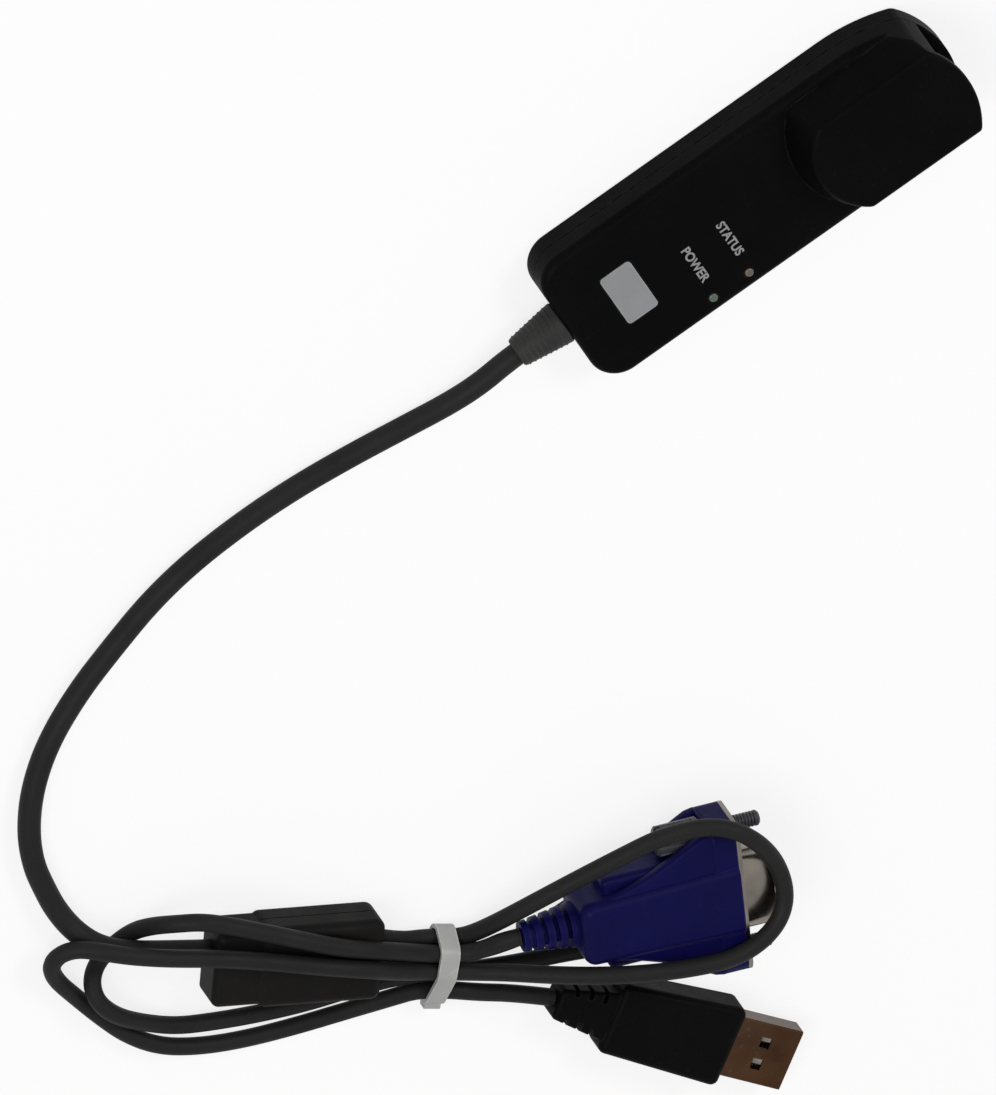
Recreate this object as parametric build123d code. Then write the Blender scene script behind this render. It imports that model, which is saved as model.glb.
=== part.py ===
"""A KVM dongle: a long low housing with a network socket in its nose and one cable at its tail. The cable
splits at a block into a video branch and a USB branch, and both are folded up in one tie, as bought.

Millimetres. The origin is under the middle of the housing, +X runs to the socket and +Z is up.
"""

import math
import os

from build123d import *

os.makedirs("parts", exist_ok=True)


def block(x, y, z):
    """A box between two limits on each axis."""
    size = [high - low for low, high in (x, y, z)]
    middle = [(high + low) / 2 for low, high in (x, y, z)]
    return Pos(*middle) * Box(*size)


def rod(x, y, z, radius):
    """A round bar along X between two limits, centred on y and z."""
    return Pos((x[0] + x[1]) / 2, y, z) * Rot(0, 90, 0) * Cylinder(radius, x[1] - x[0])


def post(x, y, z, radius):
    """A round bar along Z between two limits, centred on x and y."""
    return Pos(x, y, (z[0] + z[1]) / 2) * Cylinder(radius, z[1] - z[0])


def save(shape, name):
    """Write one node, named as in the record."""
    export_step(shape, f"parts/{name}.step")
    print(name, "volume", round(shape.volume, 1))


# Housing sizes
HALF_LENGTH = 42.5
HALF_WIDTH = 14.5
DECK = 10.0
ROOF = 18.0
WALL = 1.6
SPLIT = 4.6
TAIL_CORNER = 6.0
SHOULDER_RUN = 18.5
SHOULDER_SIZE = (4.0, 3.0)
NOSE_CORNER = 2.5
DECK_ROUND = 1.7
FOOT_ROUND = 0.8
HUMP_LENGTH = 34.9
HUMP_BOW = 5.4
HUMP_MARGIN = 1.75
HUMP_TAPER = 17.35
HUMP_ROUND = 1.2
HUMP_CORNER_ROUND = 2.5
HUMP_INSET = 1.3
NOSE_ROUND = 0.8
CLEAR = 20.0
SHOULDER = (HALF_LENGTH - SHOULDER_SIZE[0], HALF_WIDTH - SHOULDER_SIZE[1])
HUMP_HALF_WIDTH = HALF_WIDTH - HUMP_MARGIN
HUMP_APEX = HALF_LENGTH - HUMP_LENGTH
HUMP_CORNER = HUMP_APEX + HUMP_BOW
PAST_NOSE = HALF_LENGTH + CLEAR
PAST_SIDE = HALF_WIDTH + CLEAR


def plan(inset=0.0):
    """The housing from above: one side is drawn and mirrored, then taken in by an even margin."""
    tail = Line((-HALF_LENGTH, 0), (-HALF_LENGTH, HALF_WIDTH - TAIL_CORNER))
    corner = TangentArc(tail @ 1, (TAIL_CORNER - HALF_LENGTH, HALF_WIDTH), tangent=(0, 1))
    side = Line(corner @ 1, (HALF_LENGTH - SHOULDER_RUN, HALF_WIDTH))
    shoulder = TangentArc(side @ 1, SHOULDER, tangent=(1, 0))
    nose = TangentArc((HALF_LENGTH, 0), SHOULDER, tangent=(0, 1))
    half = Curve() + [tail, corner, side, shoulder, nose]
    face = make_face(half + mirror(half, about=Plane.XZ))
    shoulders = face.vertices().filter_by_position(Axis.X, SHOULDER[0] - 0.1, SHOULDER[0] + 0.1)
    face = fillet(shoulders, NOSE_CORNER)
    return offset(face, -inset, kind=Kind.INTERSECTION) if inset else face


def prism(low, high, inset=0.0):
    """The housing's plan between two heights."""
    return extrude(Pos(0, 0, low) * plan(inset), high - low)


def hump_plan(grow=0.0):
    """The raised end from above: bowed towards the tail with rounded corners, run on past the nose."""
    half = HUMP_HALF_WIDTH + grow
    bow = ThreePointArc((HUMP_CORNER - grow, half), (HUMP_APEX - grow, 0), (HUMP_CORNER - grow, -half))
    rest = Polyline(bow @ 1, (PAST_NOSE, -half), (PAST_NOSE, half), bow @ 0)
    face = make_face(bow + rest)
    return fillet(face.vertices().sort_by(Axis.X)[:2], HUMP_CORNER_ROUND + grow / 3)


def hump_block(low, high, grow=0.0):
    """The hump between two heights, its sides and its bowed end leaning in."""
    lean = (high - low) * math.tan(math.radians(HUMP_TAPER))
    return loft([Pos(0, 0, low) * hump_plan(grow), Pos(0, 0, high) * hump_plan(grow - lean)], ruled=True)


# Outer shape: a low body with rounded deck edges, and the hump run down into it
body = prism(0, DECK)
body = fillet(body.faces().sort_by(Axis.Z)[-1].edges(), DECK_ROUND)
body = fillet(body.faces().sort_by(Axis.Z)[0].edges(), FOOT_ROUND)
hump = hump_block(DECK, ROOF)
roof_edges = hump.faces().sort_by(Axis.Z)[-1].edges().sort_by(Axis.X)[:-1]
hump = fillet(roof_edges, HUMP_ROUND)
hump += extrude(Pos(0, 0, SPLIT + 1) * hump_plan(), DECK - SPLIT - 1)
hump &= prism(SPLIT + 1, ROOF)
nose_edge = hump.faces().sort_by(Axis.Z)[-1].edges().sort_by(Axis.X)[-1]
hump = fillet(nose_edge, NOSE_ROUND)
outer = body + hump

# Hollow inside, the same wall all round
cavity = prism(WALL, DECK - WALL, WALL)
room = hump_block(DECK - WALL, ROOF - WALL, -HUMP_INSET)
cavity += room & prism(DECK - WALL, ROOF - WALL, WALL)
shell = outer - cavity

# Socket: a moulded jack on the board, its mouth in the nose
BOARD_Z = (3.0, 4.6)
BOARD_TOP = BOARD_Z[1]
SOCKET_SETBACK = 2.2
SOCKET_LENGTH = 16.0
SOCKET_SIDE_ROOM = 6.5
SOCKET_HEADROOM = 0.25
WINDOW_HEADROOM = 0.15
SHIELD = 0.3
SHIELD_LID = 0.25
MOUTH_RIM = (2.05, 0.9)
MOUTH_DEPTH = 13.0
NOTCH_HALF_WIDTH = 3.2
NOTCH_HEIGHT = 2.2
SOCKET_FLOOR = 1.4
NOSE_GAP = 0.2
WINDOW_DEPTH = 6.0
SOCKET_FRONT = HALF_LENGTH - SOCKET_SETBACK
SOCKET_BACK = SOCKET_FRONT - SOCKET_LENGTH
SOCKET_HALF_WIDTH = HALF_WIDTH - SOCKET_SIDE_ROOM
SHIELD_TOP = ROOF - WALL - SOCKET_HEADROOM
SOCKET_TOP = SHIELD_TOP - SHIELD_LID
MOUTH_HALF_WIDTH = SOCKET_HALF_WIDTH - MOUTH_RIM[0]
NOTCH_FOOT = BOARD_TOP + SOCKET_FLOOR
MOUTH_Z = (NOTCH_FOOT + NOTCH_HEIGHT, SOCKET_TOP - MOUTH_RIM[1])
mouth_x = (SOCKET_FRONT - MOUTH_DEPTH, PAST_NOSE)
window_half = SOCKET_HALF_WIDTH + SHIELD + NOSE_GAP
window = block(
    (HALF_LENGTH - WINDOW_DEPTH, PAST_NOSE),
    (-window_half, window_half),
    (SPLIT, SHIELD_TOP + WINDOW_HEADROOM),
)

# Cover joint: a fine groove outside and a lip standing up inside
GROOVE = 0.3
LIP_INSET = 0.85
LIP_HEIGHT = 0.8
LIP_PLAY = 0.05
groove = prism(SPLIT - GROOVE / 2, SPLIT + GROOVE / 2) - prism(
    SPLIT - GROOVE / 2, SPLIT + GROOVE / 2, GROOVE
)
shell -= groove
below = block((-PAST_NOSE, PAST_NOSE), (-PAST_SIDE, PAST_SIDE), (-1, SPLIT))
lip = prism(SPLIT, SPLIT + LIP_HEIGHT, LIP_INSET + LIP_PLAY) - prism(SPLIT, SPLIT + LIP_HEIGHT, WALL)
lip_seat = prism(SPLIT, SPLIT + LIP_HEIGHT + LIP_PLAY, LIP_INSET)

# Cable exit and light holes
CABLE_AXIS_Z = DECK / 2
NECK_RADIUS = 3.4
LIGHT_SETBACKS = {"power_light": 24.8, "link_light": 32.7}
LIGHT_MARGIN = 3.0
LIGHTS = {name: (back - HALF_LENGTH, LIGHT_MARGIN - HALF_WIDTH) for name, back in LIGHT_SETBACKS.items()}
LIGHT_RADIUS = 0.9
LIGHT_HOLE_RADIUS = 1.0
exit_hole = rod((-HALF_LENGTH - 1, WALL - HALF_LENGTH + 1), 0, CABLE_AXIS_Z, NECK_RADIUS)

# Screws and their bosses
SCREW_SETBACK = 26.5
SCREW_X = {"cover_screw_tail": SCREW_SETBACK - HALF_LENGTH, "cover_screw_nose": HALF_LENGTH - SCREW_SETBACK}
BOSS_RADIUS = 3.0
HEAD_RADIUS = 2.0
HEAD_Z = (0.2, 1.4)
RECESS_RADIUS = 2.2
SHAFT_RADIUS = 1.1
BORE_RADIUS = 1.2
BORE_TOP = DECK - 2.0
SHAFT_TOP = BORE_TOP - 0.4

# Bottom cover
bottom_cover = shell & below
bottom_cover += lip
for x in SCREW_X.values():
    bottom_cover += post(x, 0, (WALL - 0.1, BOARD_Z[0]), BOSS_RADIUS)
for x in SCREW_X.values():
    bottom_cover -= post(x, 0, (-1, HEAD_Z[1]), RECESS_RADIUS)
    bottom_cover -= post(x, 0, (0, BOARD_Z[0] + 1), BORE_RADIUS)
bottom_cover -= exit_hole
bottom_cover -= window
save(bottom_cover, "bottom_cover")

# Top cover
BADGE_SETBACK = 12.9
BADGE_CENTRE = (BADGE_SETBACK - HALF_LENGTH, 0.0)
BADGE = (6.8, 11.6)
BADGE_DEPTH = 0.4
BADGE_CORNER = 0.8
badge_seat = Pos(*BADGE_CENTRE, DECK - BADGE_DEPTH) * RectangleRounded(*BADGE, BADGE_CORNER)
top_cover = shell - below - lip_seat
for x, ceiling in zip(SCREW_X.values(), (DECK - WALL, ROOF - WALL)):
    top_cover += post(x, 0, (BOARD_Z[1], ceiling + 0.1), BOSS_RADIUS)
for x in SCREW_X.values():
    top_cover -= post(x, 0, (BOARD_Z[1] - 1, BORE_TOP), BORE_RADIUS)
for x, y in LIGHTS.values():
    top_cover -= post(x, y, (DECK - WALL - 1, DECK + 1), LIGHT_HOLE_RADIUS)
top_cover -= exit_hole
top_cover -= window
top_cover -= extrude(badge_seat, 2)
save(top_cover, "top_cover")

# Badge plate, left bare
BADGE_PLAY = 0.1
badge_face = RectangleRounded(BADGE[0] - 2 * BADGE_PLAY, BADGE[1] - 2 * BADGE_PLAY, BADGE_CORNER)
badge_plate = extrude(Pos(*BADGE_CENTRE, DECK - BADGE_DEPTH) * badge_face, BADGE_DEPTH + 0.05)
save(badge_plate, "badge_plate")

# Cover screws, driven up from below
for name, x in SCREW_X.items():
    screw = post(x, 0, HEAD_Z, HEAD_RADIUS) + post(x, 0, (HEAD_Z[1], SHAFT_TOP), SHAFT_RADIUS)
    for turn in (0, 90):
        screw -= Pos(x, 0, HEAD_Z[0]) * Rot(0, 0, turn) * Box(2.4, 0.5, 1.0)
    save(screw, name)

# Circuit board with its chips, wire header and lights
BOARD_MARGINS = (12.5, 6.5)
BOARD_INSET = 2.0
BOARD_HOLE_RADIUS = 1.6
BOARD_X = (BOARD_MARGINS[0] - HALF_LENGTH, HALF_LENGTH - BOARD_MARGINS[1])
circuit_board = prism(*BOARD_Z, BOARD_INSET) & block(BOARD_X, (-HALF_WIDTH, HALF_WIDTH), BOARD_Z)
for x in SCREW_X.values():
    circuit_board -= post(x, 0, (0, DECK), BOARD_HOLE_RADIUS)
save(circuit_board, "circuit_board")

CHIP_START = -3.0
CHIP_ROOM = 6.0
CHIP_HALF_WIDTH = 5.0
CHIP_HEIGHT = 1.2
CHIP_DOT = (0.6, 1.4, 0.15)
DRIVER_X = (-11.0, -5.0)
DRIVER_Y = (3.5, 8.5)
DRIVER_HEIGHT = 1.0
chip_top = BOARD_TOP + CHIP_HEIGHT
chip_x = (CHIP_START, SCREW_X["cover_screw_nose"] - BOSS_RADIUS - CHIP_ROOM)
main_chip = block(chip_x, (-CHIP_HALF_WIDTH, CHIP_HALF_WIDTH), (BOARD_TOP, chip_top))
dot_place = (CHIP_START + CHIP_DOT[1], CHIP_HALF_WIDTH - CHIP_DOT[1])
main_chip -= post(*dot_place, (chip_top - CHIP_DOT[2], chip_top + 1), CHIP_DOT[0])
save(main_chip, "main_chip")
driver_chip = block(DRIVER_X, DRIVER_Y, (BOARD_TOP, BOARD_TOP + DRIVER_HEIGHT))
save(driver_chip, "driver_chip")

HEADER_SETBACK = 1.0
HEADER_LENGTH = 6.0
HEADER_HALF_WIDTH = 4.0
HEADER_HEADROOM = 0.6
HEADER_X = (BOARD_X[0] + HEADER_SETBACK, BOARD_X[0] + HEADER_SETBACK + HEADER_LENGTH)
HEADER_TOP = DECK - WALL - HEADER_HEADROOM
wire_header = block(HEADER_X, (-HEADER_HALF_WIDTH, HEADER_HALF_WIDTH), (BOARD_TOP, HEADER_TOP))
for place in range(6):
    y = (place - 2.5) * 1.25
    wire_header -= block((HEADER_X[0] - 1, HEADER_X[1] - 1.5), (y - 0.4, y + 0.4), (BOARD_TOP + 1, DECK))
save(wire_header, "wire_header")

for name, (x, y) in LIGHTS.items():
    light = post(x, y, (BOARD_TOP, DECK + 0.1), LIGHT_RADIUS)
    light = fillet(light.edges().sort_by(Axis.Z)[-1], 0.4)
    save(light, name)

# Socket body, shield and contacts
CONTACT_PITCH = 1.02
CONTACT_WIDTH = 0.45
CONTACT_THICK = 0.35
CONTACT_FRONT = SOCKET_FRONT - 1.3
CONTACT_TIP = (CONTACT_FRONT - 8.5, MOUTH_Z[0] + 3.0)
contact_rise = MOUTH_Z[1] + CONTACT_THICK / 2 - CONTACT_TIP[1]
contact_reach = CONTACT_FRONT - CONTACT_TIP[0]
contact_slope = math.degrees(math.atan2(contact_rise, contact_reach))
socket_contacts = []
contact_slots = []
for place in range(8):
    y = (place - 3.5) * CONTACT_PITCH
    across = (y - CONTACT_WIDTH / 2, y + CONTACT_WIDTH / 2)
    leg = block((mouth_x[0], CONTACT_FRONT), across, (MOUTH_Z[1], MOUTH_Z[1] + CONTACT_THICK))
    spring = Box(math.hypot(contact_rise, contact_reach), CONTACT_WIDTH, CONTACT_THICK)
    spring_middle = (CONTACT_FRONT - contact_reach / 2, y, CONTACT_TIP[1] + contact_rise / 2)
    spring = Pos(*spring_middle) * Rot(0, -contact_slope, 0) * spring
    bend = Pos(CONTACT_FRONT, y, MOUTH_Z[1] + CONTACT_THICK / 2) * Rot(90, 0, 0)
    bend *= Cylinder(CONTACT_THICK / 2, CONTACT_WIDTH)
    socket_contacts.append(leg + spring + bend)
    slot_z = (MOUTH_Z[0] + 2, leg.bounding_box().max.Z)
    contact_slots.append(block((mouth_x[0], SOCKET_FRONT), across, slot_z))
save(Compound(socket_contacts), "socket_contacts")

socket_sides = (-SOCKET_HALF_WIDTH, SOCKET_HALF_WIDTH)
socket_housing = block((SOCKET_BACK, SOCKET_FRONT), socket_sides, (BOARD_TOP, SOCKET_TOP))
socket_housing -= block(mouth_x, (-MOUTH_HALF_WIDTH, MOUTH_HALF_WIDTH), MOUTH_Z)
socket_housing -= block(mouth_x, (-NOTCH_HALF_WIDTH, NOTCH_HALF_WIDTH), (NOTCH_FOOT, MOUTH_Z[0]))
for slot in contact_slots:
    socket_housing -= slot
save(socket_housing, "socket_housing")

shield_half = SOCKET_HALF_WIDTH + SHIELD
shield_x = (SOCKET_BACK - SHIELD, SOCKET_FRONT)
socket_shield = block(shield_x, (-shield_half, shield_half), (BOARD_TOP, SHIELD_TOP))
socket_shield -= block((SOCKET_BACK, PAST_NOSE), socket_sides, (0, SOCKET_TOP))
save(socket_shield, "socket_shield")

# Strain relief: a flange inside the wall, a neck in the hole and a ringed cone outside
RELIEF_LENGTH = 10.0
RELIEF_FLANGE = (2.0, 10.0, DECK - 2 * WALL - 0.4)
RELIEF_END = -HALF_LENGTH - RELIEF_LENGTH
RELIEF_RADII = (4.2, 2.8)
RELIEF_RINGS = 4
RING_PITCH = 2.0
RING_WIDTH = 0.8
RING_FLOOR = 2.7
CABLE_DIAMETER = 4.3
CABLE_START = -43.0
inner_wall = WALL - HALF_LENGTH
relief = Pos(inner_wall + RELIEF_FLANGE[0] / 2, 0, CABLE_AXIS_Z) * Box(*RELIEF_FLANGE)
relief += rod((-HALF_LENGTH, inner_wall), 0, CABLE_AXIS_Z, NECK_RADIUS)
cone_length = -HALF_LENGTH - RELIEF_END
cone = Cone(RELIEF_RADII[1], RELIEF_RADII[0], cone_length)
relief += Pos(RELIEF_END + cone_length / 2, 0, CABLE_AXIS_Z) * Rot(0, 90, 0) * cone
for ring in range(RELIEF_RINGS):
    x = -HALF_LENGTH - RING_PITCH * (ring + 1)
    ring_x = (x - RING_WIDTH, x)
    relief -= rod(ring_x, 0, CABLE_AXIS_Z, DECK) - rod(ring_x, 0, CABLE_AXIS_Z, RING_FLOOR)
relief -= rod((RELIEF_END - 1, CABLE_START), 0, CABLE_AXIS_Z, CABLE_DIAMETER / 2)
save(relief, "cable_strain_relief")

# Cable routes, from the strain relief to the block and from the block to the plugs
BRANCH_DIAMETER = 3.3
MAIN = [
    (-43.0, 0.0, 5.0), (-53.5, 0.0, 5.0), (-61.0, -1.6, 3.8), (-68.0, -1.9, 2.7),
    (-77.1, -0.8, 2.2), (-87.7, 0.8, 2.2), (-98.6, 2.0, 2.2), (-109.6, 2.4, 2.2),
    (-121.7, 1.8, 2.2), (-132.3, -0.1, 2.2), (-142.6, -3.5, 2.2), (-152.2, -7.0, 2.2),
    (-161.8, -12.1, 2.2), (-168.9, -18.2, 2.2), (-173.9, -25.0, 2.2), (-176.7, -31.6, 2.2),
    (-177.6, -37.4, 2.2), (-178.1, -42.5, 2.3), (-177.6, -47.7, 3.4), (-175.8, -51.8, 5.5),
    (-172.3, -55.8, 6.2), (-166.4, -61.1, 5.7), (-159.8, -66.8, 5.0),
]
USB = [
    (-133.7, -85.4, 4.6), (-130.7, -89.7, 3.4), (-126.3, -93.0, 2.6), (-121.7, -96.9, 2.6),
    (-118.2, -96.8, 4.8), (-113.4, -95.4, 8.4), (-108.2, -94.5, 11.0), (-102.1, -94.1, 13.0),
    (-95.2, -94.0, 14.8), (-88.6, -94.2, 16.2), (-82.6, -94.9, 16.8), (-77.9, -96.5, 17.0),
    (-73.5, -98.6, 17.5), (-69.8, -101.9, 18.4), (-67.5, -107.6, 18.1), (-67.0, -114.0, 17.4),
    (-68.8, -120.1, 17.4), (-72.5, -123.7, 18.0), (-78.0, -124.8, 18.8), (-84.0, -123.8, 19.0),
    (-89.5, -121.1, 19.0), (-96.2, -117.2, 18.7), (-103.6, -112.6, 17.4), (-111.4, -109.0, 12.6),
    (-118.4, -105.3, 8.0), (-123.6, -102.2, 5.8), (-129.7, -97.0, 5.7), (-133.9, -91.8, 8.6),
    (-138.7, -85.1, 11.9), (-145.1, -78.9, 11.9), (-152.0, -71.8, 11.9), (-159.7, -64.5, 11.9),
    (-166.4, -59.5, 11.0), (-172.0, -54.7, 10.2), (-175.9, -50.7, 9.4), (-179.0, -48.3, 7.9),
    (-182.3, -48.1, 6.3), (-184.9, -50.1, 4.8), (-185.4, -54.3, 3.2), (-184.3, -60.0, 2.0),
    (-182.8, -66.4, 1.8), (-180.8, -73.1, 1.8), (-177.2, -79.3, 1.8), (-171.8, -84.0, 1.8),
    (-164.5, -88.4, 1.8), (-155.3, -92.6, 1.8), (-146.0, -96.3, 1.8), (-138.0, -99.3, 2.2),
    (-133.1, -101.0, 2.6), (-128.5, -104.9, 2.6), (-124.5, -108.7, 2.9), (-119.1, -113.0, 3.6),
    (-114.0, -118.2, 4.0),
]
VIDEO = [
    (-136.0, -88.6, 4.6), (-133.5, -92.2, 3.2), (-128.6, -95.7, 2.6), (-124.0, -99.5, 2.6),
    (-118.9, -102.7, 2.0), (-111.4, -105.4, 1.7), (-102.8, -105.9, 1.7), (-93.8, -105.6, 1.7),
    (-85.6, -107.0, 1.7), (-80.0, -111.6, 1.7), (-79.7, -118.6, 1.7), (-84.9, -122.8, 1.7),
    (-92.6, -121.9, 1.7), (-100.0, -117.7, 1.7), (-107.8, -113.2, 1.7), (-114.5, -109.8, 1.7),
    (-120.8, -106.0, 2.0), (-126.2, -102.2, 2.6), (-130.8, -98.4, 2.6), (-135.1, -96.4, 2.0),
    (-143.0, -93.0, 1.8), (-151.1, -89.9, 1.8), (-159.3, -85.9, 1.8), (-166.9, -81.6, 1.8),
    (-172.6, -77.9, 1.8), (-177.1, -72.3, 3.2), (-180.4, -66.5, 5.2), (-181.6, -61.5, 5.6),
    (-180.5, -58.5, 4.0), (-177.8, -57.0, 2.1), (-173.6, -56.1, 1.7), (-169.1, -55.4, 2.6),
    (-165.6, -54.6, 6.2), (-162.0, -54.8, 9.8), (-157.2, -56.9, 11.9), (-151.6, -63.7, 11.9),
    (-145.3, -71.7, 11.9), (-139.6, -78.8, 11.9), (-132.9, -86.5, 9.6), (-127.5, -94.3, 5.7),
    (-122.9, -98.2, 5.7), (-118.9, -99.0, 7.6), (-115.2, -98.3, 9.9), (-112.4, -99.4, 10.5),
]


def cable(points, diameter, name):
    """A round cable through hand-placed points, with each corner bent as wide as its runs allow."""
    vectors = [Vector(*point) for point in points]
    radii = []
    for before, at, after in zip(vectors, vectors[1:], vectors[2:]):
        turn = (at - before).get_angle(after - at)
        shorter = min((at - before).length, (after - at).length)
        radii.append(0.45 * shorter / math.tan(math.radians(turn / 2)))
    path = FilletPolyline(*vectors, radius=radii)
    section = Plane(origin=path @ 0, z_dir=path % 0) * Circle(diameter / 2)
    solid = sweep(section, path=path)
    expected = math.pi * diameter**2 / 4 * path.length
    print(name, "length", round(path.length, 1), "tightest radii", [round(r, 1) for r in sorted(radii)[:8]])
    print(name, "volume against section times length", round(solid.volume / expected, 4))
    return solid


main_cable = cable(MAIN, CABLE_DIAMETER, "main_cable")
save(main_cable, "main_cable")
usb_cable = cable(USB, BRANCH_DIAMETER, "usb_cable")
save(usb_cable, "usb_cable")
video_cable = cable(VIDEO, BRANCH_DIAMETER, "video_cable")
save(video_cable, "video_cable")

# Junction block: main cable in at the collar, both branches out at the far end
BLOCK_PLACE = Location((-148.1, -78.0, 0), (0, 0, -35.4))
BLOCK_X = (-16.0, 16.0)
BLOCK_HALF_WIDTH = 8.0
BLOCK_HEIGHT = 10.0
BLOCK_ROUND = 1.8
COLLAR_LENGTH = 8.5
COLLAR_HALF_WIDTH = 7.5
COLLAR_HEIGHT = 9.4
COLLAR_ROUND = 1.5
collar_end = BLOCK_X[0] + COLLAR_LENGTH
junction = block((collar_end, BLOCK_X[1]), (-BLOCK_HALF_WIDTH, BLOCK_HALF_WIDTH), (0, BLOCK_HEIGHT))
junction = fillet(junction.edges(), BLOCK_ROUND)
seam_z = BLOCK_HEIGHT / 2
seam = block((collar_end - 1, 20), (-20, 20), (seam_z - 0.15, seam_z + 0.15))
seam -= block(
    (collar_end + 0.3, BLOCK_X[1] - 0.3), (0.3 - BLOCK_HALF_WIDTH, BLOCK_HALF_WIDTH - 0.3), (0, 10)
)
junction -= seam
collar = block((BLOCK_X[0], collar_end + 3), (-COLLAR_HALF_WIDTH, COLLAR_HALF_WIDTH), (0.3, COLLAR_HEIGHT))
junction += fillet(collar.edges(), COLLAR_ROUND)
save(BLOCK_PLACE * junction, "junction_block")

# Tie round the six strands of the folded bundle, drawn round the four outermost
TIE_CENTRE = (-127.4, -98.95)
TIE_ANGLE = -40.0
TIE_STRANDS = [(5.25, 2.6), (3.5, 5.7), (0.0, 5.7), (-5.25, 2.6)]
TIE_SLACK = 0.12
TIE_THICK = 0.75
TIE_WIDTH = 3.6
tie_along = (math.cos(math.radians(TIE_ANGLE)), math.sin(math.radians(TIE_ANGLE)), 0)
tie_across = (-tie_along[1], tie_along[0], 0)
tie_plane = Plane(origin=(*TIE_CENTRE, 0), x_dir=tie_across, z_dir=tie_along)
strand_centres = make_face(Polyline(*TIE_STRANDS, close=True))
tie_grip = BRANCH_DIAMETER / 2 + TIE_SLACK
tie_face = offset(strand_centres, tie_grip + TIE_THICK) - offset(strand_centres, tie_grip)
tie = extrude(tie_plane * tie_face, TIE_WIDTH / 2, both=True)
lug = Pos(-7.95, 2.25) * RectangleRounded(1.7, 2.7, 0.5)
tie += extrude(tie_plane * lug, TIE_WIDTH / 2 - 0.3, both=True)
save(tie, "bundle_tie")

# Video plug, built along X from the mating face of its flange and then placed
PLUG_PLACE = Location((-75.26, -116.70, 10.5), (0, 0, -25))
HOOD_X = (-31.0, -0.8)
HOOD_HALF_WIDTHS = (6.3, 7.3)
HOOD_HALF_THICK = 7.0
HOOD_ROUND = 2.3
LEDGE_X = (-26.0, -4.0)
LEDGE_HALF_WIDTH = 9.3
LEDGE_HALF_THICK = 3.7
EAR_X = (-5.5, -0.8)
EAR_HALF_WIDTH = 15.4
EAR_HALF_THICK = 6.2
EAR_ROUND = 3.0
BOOT_X = (-41.0, -31.0)
BOOT_RADII = (2.8, 4.3)
SCREW_PITCH = 12.5
EAR_HOLE_RADIUS = 1.5


def across(shape, x):
    """A sketch drawn across the plug, its own x along +Y and y along +Z, set at one place along X."""
    return Plane(origin=(x, 0, 0), x_dir=(0, 1, 0), z_dir=(1, 0, 0)) * shape


def d_outline(grow=0.0):
    """The D of the connector's shell, wide side up."""
    half_height = 4.175
    half_top = 8.45
    half_foot = 6.98
    corners = [
        (-half_top, half_height),
        (-half_foot, -half_height),
        (half_foot, -half_height),
        (half_top, half_height),
    ]
    face = make_face(Polyline(*corners, close=True))
    face = fillet(face.vertices(), 2.4)
    return offset(face, grow) if grow else face


D_WALL = 0.4
SHELL_X = (-0.8, 6.0)
INSULATOR_X = (-4.0, 0.8)
PIN_X = (-3.0, 5.4)
PIN_RADIUS = 0.38
PIN_PITCH = 2.29
PIN_ROW = 1.98

hood_plan = Polyline(
    (HOOD_X[0], -HOOD_HALF_WIDTHS[0]),
    (HOOD_X[1], -HOOD_HALF_WIDTHS[1]),
    (HOOD_X[1], HOOD_HALF_WIDTHS[1]),
    (HOOD_X[0], HOOD_HALF_WIDTHS[0]),
    close=True,
)
hood = extrude(make_face(hood_plan), HOOD_HALF_THICK, both=True)
front_edges = hood.faces().sort_by(Axis.X)[-1].edges()
hood = fillet([edge for edge in hood.edges() if edge not in front_edges], HOOD_ROUND)
ledge = block(LEDGE_X, (-LEDGE_HALF_WIDTH, LEDGE_HALF_WIDTH), (-LEDGE_HALF_THICK, LEDGE_HALF_THICK))
ledge = fillet(ledge.edges(), 1.2)
ear_face = RectangleRounded(2 * EAR_HALF_WIDTH, 2 * EAR_HALF_THICK, EAR_ROUND)
ears = extrude(across(ear_face, EAR_X[0]), EAR_X[1] - EAR_X[0])
ears = fillet(ears.edges().group_by(Axis.X)[0], 0.8)
hood = hood + ledge + ears
boot_length = BOOT_X[1] - BOOT_X[0]
boot = Pos(BOOT_X[0] + boot_length / 2, 0, 0) * Rot(0, 90, 0) * Cone(*BOOT_RADII, boot_length)
for ring in range(4):
    x = BOOT_X[0] + 1.2 + 2.2 * ring
    boot -= rod((x, x + 0.9), 0, 0, 10) - rod((x, x + 0.9), 0, 0, 2.5)
hood = hood + boot + rod((BOOT_X[1] - 0.5, BOOT_X[1] + 3), 0, 0, BOOT_RADII[1])
hood -= extrude(across(d_outline(-D_WALL), INSULATOR_X[0]), 10)
for side in (1, -1):
    hood -= rod((EAR_X[0] - 1, EAR_X[1] + 1), side * SCREW_PITCH, 0, EAR_HOLE_RADIUS)
save(PLUG_PLACE * hood, "video_plug_hood")

# Metal shell: a flange with two holes and the D standing out of it
FLANGE = (30.8, 12.5)
flange = extrude(across(RectangleRounded(*FLANGE, EAR_ROUND), SHELL_X[0]), -SHELL_X[0])
for side in (1, -1):
    flange -= rod((-2, 1), side * SCREW_PITCH, 0, 1.7)
plug_shell = flange + extrude(across(d_outline(), SHELL_X[0]), SHELL_X[1] - SHELL_X[0])
plug_shell -= extrude(across(d_outline(-D_WALL), SHELL_X[0] - 1), 10)
save(PLUG_PLACE * plug_shell, "video_plug_shell")

pins = []
for row, shift in ((1, -0.25), (0, 0.25), (-1, -0.25)):
    for place in range(5):
        y = (place - 2 + shift) * PIN_PITCH
        pin = rod(PIN_X, y, row * PIN_ROW, PIN_RADIUS)
        pins.append(fillet(pin.edges().sort_by(Axis.X)[-1], 0.3))
save(PLUG_PLACE * Compound(pins), "video_plug_pins")

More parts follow.
